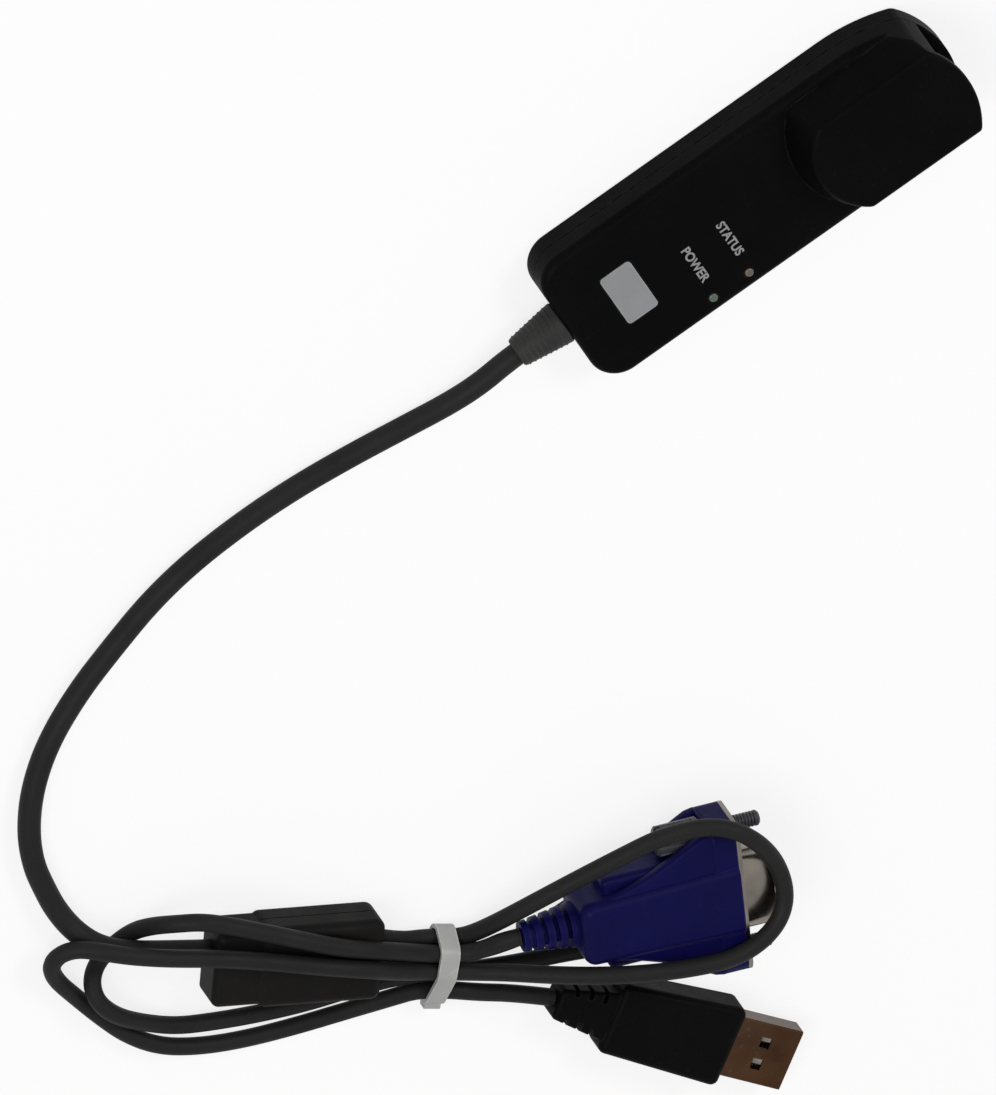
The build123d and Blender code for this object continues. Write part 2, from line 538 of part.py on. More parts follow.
insulator = extrude(across(d_outline(-D_WALL), INSULATOR_X[0]), INSULATOR_X[1] - INSULATOR_X[0])
for pin in pins:
    insulator -= pin
save(PLUG_PLACE * insulator, "video_plug_insulator")

# Captive thumbscrews: a fluted, slotted knob and a plain shaft with a threaded end
KNOB_X = (-14.2, -5.8)
KNOB_RADIUS = 2.9
FLUTES = 12
THUMB_SHAFT_RADIUS = 1.45
THREAD_X = (0.6, 5.5)
THREAD_RADIUS = 1.42
THREAD_DEPTH = 0.22
THREAD_PITCH = 0.6
THREAD_RINGS = 7
for name, side in (("thumbscrew_left", 1), ("thumbscrew_right", -1)):
    y = side * SCREW_PITCH
    knob = rod(KNOB_X, y, 0, KNOB_RADIUS)
    knob = chamfer(knob.edges().filter_by(GeomType.CIRCLE), 0.4)
    for flute in range(FLUTES):
        angle = math.radians(360 * flute / FLUTES)
        reach = KNOB_RADIUS + 0.1
        place = (y + reach * math.cos(angle), reach * math.sin(angle))
        knob -= rod((KNOB_X[0] - 1, KNOB_X[1] - 1.2), *place, 0.42)
    knob -= block((KNOB_X[0] - 1, KNOB_X[0] + 1.2), (y - 5, y + 5), (-0.45, 0.45))
    shaft = rod((KNOB_X[1], THREAD_X[1]), y, 0, THUMB_SHAFT_RADIUS)
    shaft = chamfer(shaft.edges().sort_by(Axis.X)[-1], 0.4)
    for ring in range(THREAD_RINGS):
        x = THREAD_X[0] + THREAD_PITCH * ring
        ring_x = (x, x + THREAD_PITCH / 2)
        shaft -= rod(ring_x, y, 0, KNOB_RADIUS) - rod(ring_x, y, 0, THREAD_RADIUS - THREAD_DEPTH)
    save(PLUG_PLACE * (knob + shaft), name)

# USB plug, built along X from the front of its grip and then placed
USB_PLACE = Location((-92.88, -147.35, 4.0), (0, 0, -54.1))
GRIP_X = (-25.0, 0.0)
GRIP_HALF_WIDTHS = (7.0, 8.0)
GRIP_HALF_THICK = 4.0
GRIP_ROUND = 1.5
RELIEF_X = (-36.0, -25.0)
RELIEF_HALF_WIDTHS = (3.0, 5.3)
RELIEF_HALF_THICK = 3.25
USB_SHELL_X = (-3.0, 12.5)
USB_HALF_WIDTH = 6.0
USB_HALF_THICK = 2.25
USB_WALL = 0.3

grip_plan = Polyline(
    (GRIP_X[0], -GRIP_HALF_WIDTHS[0]),
    (GRIP_X[1], -GRIP_HALF_WIDTHS[1]),
    (GRIP_X[1], GRIP_HALF_WIDTHS[1]),
    (GRIP_X[0], GRIP_HALF_WIDTHS[0]),
    close=True,
)
grip = extrude(make_face(grip_plan), GRIP_HALF_THICK, both=True)
grip = fillet(grip.edges(), GRIP_ROUND)
relief_plan = Polyline(
    (RELIEF_X[0], -RELIEF_HALF_WIDTHS[0]),
    (RELIEF_X[1] + 2, -RELIEF_HALF_WIDTHS[1]),
    (RELIEF_X[1] + 2, RELIEF_HALF_WIDTHS[1]),
    (RELIEF_X[0], RELIEF_HALF_WIDTHS[0]),
    close=True,
)
usb_relief = extrude(make_face(relief_plan), RELIEF_HALF_THICK, both=True)
usb_relief = fillet(usb_relief.edges(), 0.9)
for step in range(3):
    x = RELIEF_X[0] + 2.4 + 2.8 * step
    notch = block((x, x + 0.9), (-10, 10), (-10, 10)) - block((x - 1, x + 2), (-2.4, 2.4), (-10, 10))
    usb_relief -= notch
usb_grip = grip + usb_relief
usb_sides = (-USB_HALF_WIDTH, USB_HALF_WIDTH)
usb_heights = (-USB_HALF_THICK, USB_HALF_THICK)
usb_grip -= block((USB_SHELL_X[0], 1), usb_sides, usb_heights)
save(USB_PLACE * usb_grip, "usb_plug_grip")

usb_shell = block(USB_SHELL_X, usb_sides, usb_heights)
usb_shell = fillet(usb_shell.edges().filter_by(Axis.X), 0.4)
inner_sides = (USB_WALL - USB_HALF_WIDTH, USB_HALF_WIDTH - USB_WALL)
inner_heights = (USB_WALL - USB_HALF_THICK, USB_HALF_THICK - USB_WALL)
usb_shell -= block((USB_SHELL_X[0] - 1, USB_SHELL_X[1] + 1), inner_sides, inner_heights)
for side in (1, -1):
    usb_shell -= Pos(6.2, side * 2.15, 0) * Box(2.0, 2.2, 10)
save(USB_PLACE * usb_shell, "usb_plug_shell")

TONGUE_X = (-3.0, 11.8)
TONGUE_TOP = -0.1
TONGUE_PLAY = 0.1
tongue_half = USB_HALF_WIDTH - USB_WALL - TONGUE_PLAY
tongue = block(TONGUE_X, (-tongue_half, tongue_half), (inner_heights[0], TONGUE_TOP))
save(USB_PLACE * tongue, "usb_plug_tongue")

strips = []
for y, start in ((-3.5, 2.0), (-1.0, 3.0), (1.0, 3.0), (3.5, 2.0)):
    strips.append(block((start, 11.0), (y - 0.6, y + 0.6), (TONGUE_TOP, TONGUE_TOP + 0.12)))
save(USB_PLACE * Compound(strips), "usb_plug_contacts")
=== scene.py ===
"""The looks of a KVM dongle: materials for its CAD pieces, its three cables, its words and its wear."""

import math

import bpy
from mathutils import Matrix, Vector


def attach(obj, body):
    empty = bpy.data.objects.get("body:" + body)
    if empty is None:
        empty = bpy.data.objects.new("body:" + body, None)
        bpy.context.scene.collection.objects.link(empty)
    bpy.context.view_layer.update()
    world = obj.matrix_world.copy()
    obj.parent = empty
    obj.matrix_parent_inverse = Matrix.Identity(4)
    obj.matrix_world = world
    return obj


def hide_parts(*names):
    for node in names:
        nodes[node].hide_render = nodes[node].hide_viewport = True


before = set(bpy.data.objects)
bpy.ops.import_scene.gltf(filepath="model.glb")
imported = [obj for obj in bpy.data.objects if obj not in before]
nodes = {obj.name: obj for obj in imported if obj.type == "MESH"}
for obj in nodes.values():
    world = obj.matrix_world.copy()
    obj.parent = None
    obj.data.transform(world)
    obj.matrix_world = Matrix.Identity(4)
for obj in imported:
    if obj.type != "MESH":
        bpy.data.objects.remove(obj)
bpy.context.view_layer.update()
collection = bpy.context.scene.collection
MM = 0.001

# Floor and background
# A pale sheet of card runs under the dongle. Seen straight or mirrored it is almost white, and it keeps
# a faint shadow, as in a catalogue picture.
FLOOR_HALF = 3.0
FLOOR_DROP = 0.2
FLOOR_COLOUR = (0.93, 0.93, 0.93, 1.0)
FLOOR_GLOW = 0.8


def seen_or_mirrored(tree):
    """The socket that is 1 for rays that show the background: camera, mirror and glass rays."""
    path = tree.nodes.new("ShaderNodeLightPath")
    either = tree.nodes.new("ShaderNodeMath")
    either.operation = "MAXIMUM"
    tree.links.new(path.outputs["Is Camera Ray"], either.inputs[0])
    tree.links.new(path.outputs["Is Glossy Ray"], either.inputs[1])
    any_of = tree.nodes.new("ShaderNodeMath")
    any_of.operation = "MAXIMUM"
    tree.links.new(either.outputs[0], any_of.inputs[0])
    tree.links.new(path.outputs["Is Transmission Ray"], any_of.inputs[1])
    return any_of.outputs[0]


floor_mesh = bpy.data.meshes.new("floor")
corners = [(x * FLOOR_HALF, y * FLOOR_HALF, 0) for x, y in ((-1, -1), (1, -1), (1, 1), (-1, 1))]
floor_mesh.from_pydata(corners, [], [(0, 1, 2, 3)])
floor = bpy.data.objects.new("floor", floor_mesh)
collection.objects.link(floor)
floor.location.z = -FLOOR_DROP * MM

card = bpy.data.materials.new("floor card")
card.use_nodes = True
card.node_tree.nodes.clear()
card_diffuse = card.node_tree.nodes.new("ShaderNodeBsdfDiffuse")
card_diffuse.inputs["Color"].default_value = FLOOR_COLOUR
card_glow = card.node_tree.nodes.new("ShaderNodeEmission")
card_mix = card.node_tree.nodes.new("ShaderNodeMixShader")
card_share = card.node_tree.nodes.new("ShaderNodeMath")
card_share.operation = "MULTIPLY"
card_share.inputs[1].default_value = FLOOR_GLOW
card_out = card.node_tree.nodes.new("ShaderNodeOutputMaterial")
card.node_tree.links.new(seen_or_mirrored(card.node_tree), card_share.inputs[0])
card.node_tree.links.new(card_share.outputs[0], card_mix.inputs["Fac"])
card.node_tree.links.new(card_diffuse.outputs[0], card_mix.inputs[1])
card.node_tree.links.new(card_glow.outputs[0], card_mix.inputs[2])
card.node_tree.links.new(card_mix.outputs[0], card_out.inputs["Surface"])
floor_mesh.materials.append(card)

# Studio light
# A white world behind, dimmer where it lights the object, with a broad lamp high on the left and a
# narrow one that catches the deck's edges.
WORLD_LIGHT = 0.45
world = bpy.data.worlds.new("studio")
bpy.context.scene.world = world
world.use_nodes = True
world_nodes = world.node_tree.nodes
background = world_nodes["Background"]
background.inputs["Color"].default_value = (1, 1, 1, 1)
world_strength = world_nodes.new("ShaderNodeMapRange")
world_strength.inputs["To Min"].default_value = WORLD_LIGHT
world_strength.inputs["To Max"].default_value = 1.0
world.node_tree.links.new(seen_or_mirrored(world.node_tree), world_strength.inputs["Value"])
world.node_tree.links.new(world_strength.outputs["Result"], background.inputs["Strength"])

LAMPS = {
    "high lamp": ((-0.7, 0.5, 1.3), (-0.08, -0.05, 0.0), 0.7, 9.0),
    "edge lamp": ((0.7, 0.2, 0.9), (0.0, 0.0, 0.0), 0.35, 4.0),
}
for name, (place, aim, side, power) in LAMPS.items():
    lamp = bpy.data.lights.new(name, "AREA")
    lamp.shape = "SQUARE"
    lamp.size = side
    lamp.energy = power
    lamp_object = bpy.data.objects.new(name, lamp)
    collection.objects.link(lamp_object)
    lamp_object.location = place
    lamp_object.rotation_euler = (Vector(aim) - Vector(place)).to_track_quat("-Z", "Y").to_euler()

# Camera
# The photograph is level with the picture plane turned about the view, and near enough parallel.
CAMERA_RIGHT = Vector((0.817, -0.4833, 0.3133))
CAMERA_BACK = Vector((0.0, 0.544, 0.839))
CAMERA_AIM = Vector((-0.07537, -0.03503, 0.0))
CAMERA_HEIGHT = 0.1973
CAMERA_AWAY = 2.0
camera_up = CAMERA_BACK.cross(CAMERA_RIGHT).normalized()
camera_right = camera_up.cross(CAMERA_BACK).normalized()
turn = Matrix((camera_right, camera_up, CAMERA_BACK.normalized())).transposed()
lens = bpy.data.cameras.new("camera")
lens.type = "ORTHO"
lens.ortho_scale = CAMERA_HEIGHT
camera = bpy.data.objects.new("camera", lens)
collection.objects.link(camera)
camera.matrix_world = Matrix.Translation(CAMERA_AIM + CAMERA_BACK * CAMERA_AWAY) @ turn.to_4x4()
bpy.context.scene.camera = camera
bpy.context.scene.view_settings.view_transform = "Standard"

# Housing covers
# Two injection moulded covers in black ABS with a fine spark texture. Their edges are painted lighter,
# partly as rubbed wear and partly as a painted highlight along the edges. They meet at a groove low on the
# side.


def add_noise(tree, vector, scale, detail=2):
    """A noise texture's value over one set of coordinates."""
    noise = tree.nodes.new("ShaderNodeTexNoise")
    noise.inputs["Scale"].default_value = scale
    noise.inputs["Detail"].default_value = detail
    tree.links.new(vector, noise.inputs["Vector"])
    return noise.outputs["Fac"]


def add_range(tree, value, start, end, low, high):
    """A value carried from one span to another, held at the ends."""
    span = tree.nodes.new("ShaderNodeMapRange")
    for key, number in (("From Min", start), ("From Max", end), ("To Min", low), ("To Max", high)):
        span.inputs[key].default_value = number
    tree.links.new(value, span.inputs["Value"])
    return span.outputs["Result"]


def add_math(tree, operation, first, second, third=0.0):
    """One step of arithmetic on sockets or plain numbers."""
    step = tree.nodes.new("ShaderNodeMath")
    step.operation = operation
    for socket, value in zip(step.inputs, (first, second, third)):
        if isinstance(value, (int, float)):
            socket.default_value = value
        else:
            tree.links.new(value, socket)
    return step.outputs[0]


def add_tone(tree, share, first, second):
    """A mix of two colours, each a socket or three numbers."""
    tone = tree.nodes.new("ShaderNodeMix")
    tone.data_type = "RGBA"
    tree.links.new(share, tone.inputs["Factor"])
    for key, colour in (("A", first), ("B", second)):
        if isinstance(colour, tuple):
            tone.inputs[key].default_value = (*colour, 1)
        else:
            tree.links.new(colour, tone.inputs[key])
    return tone.outputs["Result"]


DUST = (0.2, 0.19, 0.175)
EDGE_RADIUS = 0.45
EDGE_SAMPLES = 4
SEAM_HALF = 0.09
SEAM_DEPTH = 3.0
CLOUD_SCALE = 140
PATCH_SCALE = 420
SPECK_SCALE = 900
HAZE_SCALE = 45
HAIR_SCALE = 1500
HAIR_TURN = 0.7
HAIR_STRETCH = 0.05
BUMP_STRENGTH = 0.6


def moulded(
    name, colour, worn, roughness, grain_mm, grain_height,
    specular=0.04, rub_and_highlight=0.4, dust=0.01, seam=None, scratched=0.18,
):
    """A moulded plastic: cloudy tone, edges lightened both as rubbed wear and as a painted highlight,
    dust, hairline scratches, a fine grain and, where seam gives its height in mm, the line where the mould
    closed."""
    material = bpy.data.materials.new(name)
    material.use_nodes = True
    tree = material.node_tree
    shader = tree.nodes["Principled BSDF"]
    shader.inputs["Specular IOR Level"].default_value = specular
    place = tree.nodes.new("ShaderNodeTexCoord").outputs["Object"]
    cloud = add_noise(tree, place, CLOUD_SCALE, 4)

    rounded = tree.nodes.new("ShaderNodeBevel")
    rounded.samples = EDGE_SAMPLES
    rounded.inputs["Radius"].default_value = EDGE_RADIUS * MM
    facing = tree.nodes.new("ShaderNodeVectorMath")
    facing.operation = "DOT_PRODUCT"
    tree.links.new(rounded.outputs["Normal"], facing.inputs[0])
    tree.links.new(tree.nodes.new("ShaderNodeNewGeometry").outputs["Normal"], facing.inputs[1])
    # Edge mask: partly rubbed wear, partly a painted highlight along every edge.
    edge = add_range(tree, facing.outputs["Value"], 0.995, 0.88, 0.0, rub_and_highlight)
    patches = add_range(tree, add_noise(tree, place, PATCH_SCALE, 3), 0.4, 0.62, 0.15, 1.0)
    edge = add_math(tree, "MULTIPLY", edge, patches)

    lengthen = tree.nodes.new("ShaderNodeMapping")
    lengthen.inputs["Rotation"].default_value = (0.0, 0.0, HAIR_TURN)
    lengthen.inputs["Scale"].default_value = (HAIR_STRETCH, 1.0, 1.0)
    tree.links.new(place, lengthen.inputs["Vector"])
    hairlines = add_noise(tree, lengthen.outputs["Vector"], HAIR_SCALE, 1)
    hairlines = add_range(tree, hairlines, 0.69, 0.75, 0.0, 1.0)
    specks = add_range(tree, add_noise(tree, place, SPECK_SCALE, 2), 0.62, 0.72, 0.0, 1.0)
    haze = add_range(tree, add_noise(tree, place, HAZE_SCALE, 3), 0.42, 0.66, 0.25, 1.0)
    settled = add_math(tree, "MULTIPLY", add_math(tree, "MULTIPLY_ADD", specks, 2.0, 1.0), haze)

    tone = add_tone(tree, cloud, colour, worn)
    # Edges painted lighter: rubbed wear and a painted highlight.
    tone = add_tone(tree, edge, tone, tuple(min(1.0, 3.0 * part + 0.01) for part in worn))
    streaks = add_math(tree, "MULTIPLY", hairlines, scratched)
    tone = add_tone(tree, streaks, tone, tuple(2.0 * part for part in worn))
    tone = add_tone(tree, add_math(tree, "MULTIPLY", settled, dust), tone, DUST)
    tree.links.new(tone, shader.inputs["Base Color"])

    gloss = add_range(tree, cloud, 0.3, 0.7, roughness + 0.07, roughness - 0.05)
    gloss = add_math(tree, "MULTIPLY_ADD", edge, -0.12, gloss)
    tree.links.new(add_math(tree, "MULTIPLY_ADD", hairlines, 0.1, gloss), shader.inputs["Roughness"])

    height = add_noise(tree, place, 1 / (grain_mm * MM), 2)
    height = add_math(tree, "MULTIPLY_ADD", hairlines, -0.35, height)
    if seam is not None:
        apart = tree.nodes.new("ShaderNodeSeparateXYZ")
        tree.links.new(place, apart.inputs[0])
        away = add_math(tree, "ABSOLUTE", add_math(tree, "SUBTRACT", apart.outputs["Z"], seam * MM), 0.0)
        line = add_range(tree, away, 0.0, SEAM_HALF * MM, 1.0, 0.0)
        height = add_math(tree, "MULTIPLY_ADD", line, SEAM_DEPTH, height)
    bump = tree.nodes.new("ShaderNodeBump")
    bump.inputs["Strength"].default_value = BUMP_STRENGTH
    bump.inputs["Distance"].default_value = grain_height * MM
    tree.links.new(height, bump.inputs["Height"])
    tree.links.new(bump.outputs["Normal"], shader.inputs["Normal"])
    return material


def finish_nodes(material, *names):
    """Gives CAD nodes one material in place of their plain one."""
    for name in names:
        for slot in nodes[name].material_slots:
            slot.material = material


def baked(name, source, body, place=Matrix()):
    """Turns a curve or a node tree's result into a plain mesh at its place, riding on a body."""
    bpy.context.view_layer.update()
    result = source.evaluated_get(bpy.context.evaluated_depsgraph_get())
    mesh = bpy.data.meshes.new_from_object(result)
    mesh.name = name
    mesh.transform(place)
    bpy.data.objects.remove(source)
    piece = bpy.data.objects.new(name, mesh)
    collection.objects.link(piece)
    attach(piece, body)
    return piece


HOUSING_BLACK = (0.001, 0.001, 0.0012)
HOUSING_WORN = (0.0022, 0.0022, 0.0024)
housing_black = moulded("housing black", HOUSING_BLACK, HOUSING_WORN, 0.44, 0.35, 0.02, 0.025, 0.9, 0.006)
finish_nodes(housing_black, "top_cover", "bottom_cover")

# Badge plate
# A thin inlay of satin grey plastic in a shallow seat, left bare.
BADGE_GREY = (0.28, 0.285, 0.29)
BADGE_WORN = (0.2, 0.205, 0.21)
badge_grey = moulded("badge grey", BADGE_GREY, BADGE_WORN, 0.45, 0.5, 0.01, 0.2, scratched=0.03)
finish_nodes(badge_grey, "badge_plate")

# Printed words
# Two short words in pale ink on the deck, one for each light, worn a little where the ink is thin.
INK_HEIGHT = 2.45
INK_THICK = 0.02
INK_SPREAD = 0.07
DECK = 10.0
WORDS = {"POWER": (-17.0, -3.3, 8.3), "STATUS": (-9.2, -3.0, 8.0)}
ink = moulded("printed ink", (0.3, 0.3, 0.3), (0.2, 0.2, 0.2), 0.5, 0.25, 0.01, 0.2)
for word, (x, y, length) in WORDS.items():
    letters = bpy.data.curves.new(word.lower(), "FONT")
    letters.body = word
    letters.size = INK_HEIGHT * MM
    letters.align_x = "CENTER"
    letters.align_y = "CENTER"
    letters.extrude = INK_THICK / 2 * MM
    letters.offset = INK_SPREAD * MM
    letters.materials.append(ink)
    line = bpy.data.objects.new(word.lower(), letters)
    collection.objects.link(line)
    bpy.context.view_layer.update()
    stretch = Matrix.Diagonal((length * MM / line.dimensions.x, 1.0, 1.0, 1.0))
    upright = Matrix.Translation(Vector((x, y, DECK)) * MM) @ Matrix.Rotation(math.radians(-90), 4, "Z")
    baked(f"printed_{word.lower()}", line, "dongle", upright @ stretch)

# Cover screws
# Zinc-plated cross-head screws, driven into the bottom cover.


def metal(name, colour, stain, roughness, grain_mm=0.6):
    """A plated metal with a faint uneven tone and polish."""
    material = moulded(name, colour, stain, roughness, grain_mm, 0.004, 0.5, 0.2, 0.05)
    material.node_tree.nodes["Principled BSDF"].inputs["Metallic"].default_value = 1.0
    return material


screw_steel = metal("screw steel", (0.5, 0.5, 0.52), (0.4, 0.4, 0.42), 0.35)
finish_nodes(screw_steel, "cover_screw_tail", "cover_screw_nose")

# Circuit board and what is soldered to it
# Glass fibre under green solder mask, black epoxy chips and a white wire header. The lights are clear
# coloured rods from the board up through the deck, unlit.
board_green = moulded("board green", (0.01, 0.09, 0.03), (0.015, 0.12, 0.04), 0.25, 0.4, 0.01, 0.4)
finish_nodes(board_green, "circuit_board")
chip_black = moulded("chip black", (0.01, 0.01, 0.01), (0.014, 0.014, 0.014), 0.5, 0.25, 0.01)
finish_nodes(chip_black, "main_chip", "driver_chip", "socket_housing")
header_white = moulded("header white", (0.62, 0.6, 0.55), (0.56, 0.54, 0.5), 0.4, 0.5, 0.01)
finish_nodes(header_white, "wire_header")
power_green = moulded("light green", (0.05, 0.08, 0.055), (0.075, 0.11, 0.08), 0.2, 0.8, 0.005, 0.5)
finish_nodes(power_green, "power_light")
link_amber = moulded("light amber", (0.085, 0.065, 0.045), (0.11, 0.085, 0.06), 0.2, 0.8, 0.005, 0.5)
finish_nodes(link_amber, "link_light")

# Network socket
# A black moulded body in a nickel can, with eight sprung gold-flashed wires.
nickel = metal("nickel", (0.32, 0.29, 0.255), (0.08, 0.07, 0.06), 0.22)
finish_nodes(nickel, "socket_shield", "video_plug_shell")
gold = metal("contact gold", (0.68, 0.46, 0.16), (0.55, 0.36, 0.12), 0.22)
finish_nodes(gold, "socket_contacts", "video_plug_pins", "usb_plug_contacts")

# Strain relief
# A soft grey sleeve: a flange and neck held in the wall, and a cone with low rings over the cable.
CABLE_AXIS = 5.0
SLEEVE_SIDES = 64
SLEEVE = [
    (-40.9, 2.2), (-40.9, 3.4), (-42.5, 3.4), (-42.5, 3.9), (-42.75, 4.15),
    (-43.2, 4.1), (-51.9, 2.9), (-52.3, 2.75), (-52.5, 2.5), (-52.5, 2.2),
]
FLANGE_ENDS = (-40.9, -38.9)
FLANGE_HALF = (5.0, 3.2)
RINGS = 8
RING_FIRST = -44.1
RING_PITCH = 1.05
RING_SPAN = (3.86, 2.86)
RING_THICK = 0.24
BEAD_SIDES = 12
relief_grey = moulded("relief grey", (0.022, 0.022, 0.022), (0.034, 0.033, 0.032), 0.5, 0.2, 0.02, 0.1)


def sleeve():
    """The relief as one turned skin, with its flange as a block on its inner end."""
    points = []
    for x, radius in SLEEVE:
        for side in range(SLEEVE_SIDES):
            angle = 2 * math.pi * side / SLEEVE_SIDES
            point = (x, radius * math.cos(angle), CABLE_AXIS + radius * math.sin(angle))
            points.append(Vector(point) * MM)
    faces = []
    for ring in range(len(SLEEVE)):
        after = (ring + 1) % len(SLEEVE)
        for side in range(SLEEVE_SIDES):
            beside = (side + 1) % SLEEVE_SIDES
            faces.append([base * SLEEVE_SIDES + place for base, place in (
                (ring, side), (after, side), (after, beside), (ring, beside))])
    start = len(points)
    for x in FLANGE_ENDS:
        for y, z in ((-1, -1), (1, -1), (1, 1), (-1, 1)):
            points.append(Vector((x, y * FLANGE_HALF[0], CABLE_AXIS + z * FLANGE_HALF[1])) * MM)
    cube = ((0, 3, 2, 1), (4, 5, 6, 7), (0, 1, 5, 4), (1, 2, 6, 5), (2, 3, 7, 6), (3, 0, 4, 7))
    faces += [[start + corner for corner in face] for face in cube]
    mesh = bpy.data.meshes.new("relief_sleeve")
    mesh.from_pydata(points, [], faces)
    mesh.materials.append(relief_grey)
    mesh.shade_smooth()
    mesh.set_sharp_from_angle(angle=math.radians(35))
    return mesh


def ring_group():
    """A node tree for low rings along a line, each smaller than the one before."""
    group = bpy.data.node_groups.new("rings along a cone", "GeometryNodeTree")
    sockets = (("Count", "Int"), ("Pitch", "Float"), ("First Radius", "Float"), ("Last Radius", "Float"),
               ("Thickness", "Float"), ("Material", "Material"))
    for label, kind in sockets:
        group.interface.new_socket(label, in_out="INPUT", socket_type=f"NodeSocket{kind}")
    group.interface.new_socket("Geometry", in_out="OUTPUT", socket_type="NodeSocketGeometry")
    add = group.nodes.new
    link = group.links.new
    given = add("NodeGroupInput").outputs
    line = add("GeometryNodeMeshLine")
    offset = add("ShaderNodeCombineXYZ")
    link(given["Pitch"], offset.inputs["X"])
    link(given["Count"], line.inputs["Count"])
    link(offset.outputs[0], line.inputs["Offset"])
    circle = add("GeometryNodeCurvePrimitiveCircle")
    circle.inputs["Resolution"].default_value = SLEEVE_SIDES
    circle.inputs["Radius"].default_value = 1.0
    last = add("ShaderNodeMath")
    last.operation = "SUBTRACT"
    last.inputs[1].default_value = 1.0
    link(given["Count"], last.inputs[0])
    size = add("ShaderNodeMapRange")
    link(add("GeometryNodeInputIndex").outputs[0], size.inputs["Value"])
    link(last.outputs[0], size.inputs["From Max"])
    link(given["First Radius"], size.inputs["To Min"])
    link(given["Last Radius"], size.inputs["To Max"])
    placed = add("GeometryNodeInstanceOnPoints")
    placed.inputs["Rotation"].default_value = (0.0, math.pi / 2, 0.0)
    link(line.outputs[0], placed.inputs["Points"])
    link(circle.outputs[0], placed.inputs["Instance"])
    link(size.outputs["Result"], placed.inputs["Scale"])
    real = add("GeometryNodeRealizeInstances")
    link(placed.outputs[0], real.inputs[0])
    bead = add("GeometryNodeCurvePrimitiveCircle")
    bead.inputs["Resolution"].default_value = BEAD_SIDES
    link(given["Thickness"], bead.inputs["Radius"])
    skin = add("GeometryNodeCurveToMesh")
    link(real.outputs[0], skin.inputs["Curve"])
    link(bead.outputs[0], skin.inputs["Profile Curve"])
    finish = add("GeometryNodeSetMaterial")
    link(skin.outputs[0], finish.inputs["Geometry"])
    link(given["Material"], finish.inputs["Material"])
    link(finish.outputs[0], add("NodeGroupOutput").inputs[0])
    return group


relief_sleeve = bpy.data.objects.new("relief_sleeve", sleeve())
collection.objects.link(relief_sleeve)
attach(relief_sleeve, "dongle")
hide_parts("cable_strain_relief")

ring_values = {
    "Count": RINGS,
    "Pitch": -RING_PITCH * MM,
    "First Radius": RING_SPAN[0] * MM,
    "Last Radius": RING_SPAN[1] * MM,
    "Thickness": RING_THICK * MM,
    "Material": relief_grey,
}
ring_source = bpy.data.objects.new("ring source", bpy.data.meshes.new("ring source"))
collection.objects.link(ring_source)
ring_steps = ring_source.modifiers.new("rings", "NODES")
ring_steps.node_group = ring_group()
for item in ring_steps.node_group.interface.items_tree:
    if item.in_out == "INPUT":
        ring_steps[item.identifier] = ring_values[item.name]
first_ring = Matrix.Translation(Vector((RING_FIRST, 0.0, CABLE_AXIS)) * MM)
relief_rings = baked("relief_rings", ring_source, "dongle", first_ring)

# Video plug
# A blue PVC hood moulded over the cable, with flared wings above and below its ears, a nickel shell and
# two dark captive thumbscrews.
HOOD_MIDDLE = 10.5
HOOD_BLUE = (0.002, 0.0018, 0.034)
HOOD_WORN = (0.0036, 0.0033, 0.06)
hood_blue = moulded("hood blue", HOOD_BLUE, HOOD_WORN, 0.42, 0.3, 0.02, 0.06, 0.6, 0.004, HOOD_MIDDLE)
finish_nodes(hood_blue, "video_plug_hood", "video_plug_insulator")

PLUG_PLACE = (-75.26, -116.70, HOOD_MIDDLE)
PLUG_TURN = -25
WING_EDGE = [(-27.0, 6.2), (-22.0, 7.3), (-16.5, 9.3), (-11.0, 12.2), (-7.0, 14.4), (-4.5, 14.9)]
WING_HEIGHTS = (3.35, 5.9)
WING_ROUND = 0.9
WING_STEPS = 4
WING_CREASE = 40


def hood_wings(label, side):
    """A flared slab across both ears, above the hood's middle for side 1 and below it for side -1."""
    rim = WING_EDGE + [(x, -y) for x, y in reversed(WING_EDGE)]
    points = [Vector((x, y, side * z)) * MM for z in WING_HEIGHTS for x, y in rim]
    count = len(rim)
    faces = [[at, (at + 1) % count, (at + 1) % count + count, at + count] for at in range(count)]
    faces += [list(reversed(range(count))), [count + at for at in range(count)]]
    if side > 0:
        faces = [list(reversed(face)) for face in faces]
    mesh = bpy.data.meshes.new("wing")
    mesh.from_pydata(points, [], faces)
    mesh.materials.append(hood_blue)
    source = bpy.data.objects.new("wing source", mesh)
    collection.objects.link(source)
    edges = source.modifiers.new("round", "BEVEL")
    edges.width = WING_ROUND * MM
    edges.segments = WING_STEPS
    plug = Matrix.Translation(Vector(PLUG_PLACE) * MM) @ Matrix.Rotation(math.radians(PLUG_TURN), 4, "Z")
    wings = baked(f"hood_wings_{label}", source, "dongle", plug)
    wings.data.shade_smooth()
    wings.data.set_sharp_from_angle(angle=math.radians(WING_CREASE))
    return wings


wings = [hood_wings("upper", 1), hood_wings("lower", -1)]
knob_black = moulded("knob black", (0.035, 0.035, 0.043), (0.055, 0.055, 0.066), 0.36, 0.3, 0.015, 0.2)
finish_nodes(knob_black, "thumbscrew_left", "thumbscrew_right")

# Cable jackets
# Soft dark grey PVC with a dull sheen, extruded round the wires. Each cable runs on a smooth line through
# its own points, and carries the plug at its far end.
jacket = moulded("cable grey", (0.011, 0.011, 0.0115), (0.018, 0.017, 0.0165), 0.5, 0.22, 0.015, 0.08)

